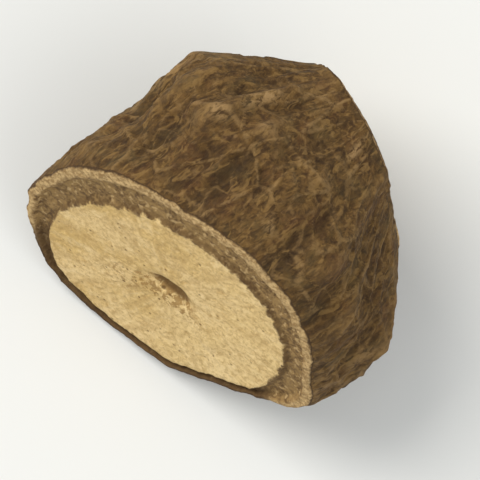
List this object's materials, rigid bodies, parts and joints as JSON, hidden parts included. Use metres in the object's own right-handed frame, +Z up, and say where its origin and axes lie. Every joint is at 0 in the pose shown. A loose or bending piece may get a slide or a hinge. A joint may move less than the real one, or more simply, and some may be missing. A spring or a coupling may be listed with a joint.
{
  "type": "dried guaco root piece",
  "caption": "Thick cut piece of dried guaco root lying on its side, with wrinkled brown bark and a slanted pale cut face.",
  "frame": {"origin": "middle of the piece's outline seen from above, on the surface that it rests on", "axes": "+X along the root, from the slanted cut to the smaller cut; +Z up from the surface that it rests on"},
  "size_m": [0.022, 0.0228, 0.0202],
  "materials": {
    "root": "matte"
  },
  "bodies": {
    "root": {"root_piece": "root"}
  },
  "joints": []
}
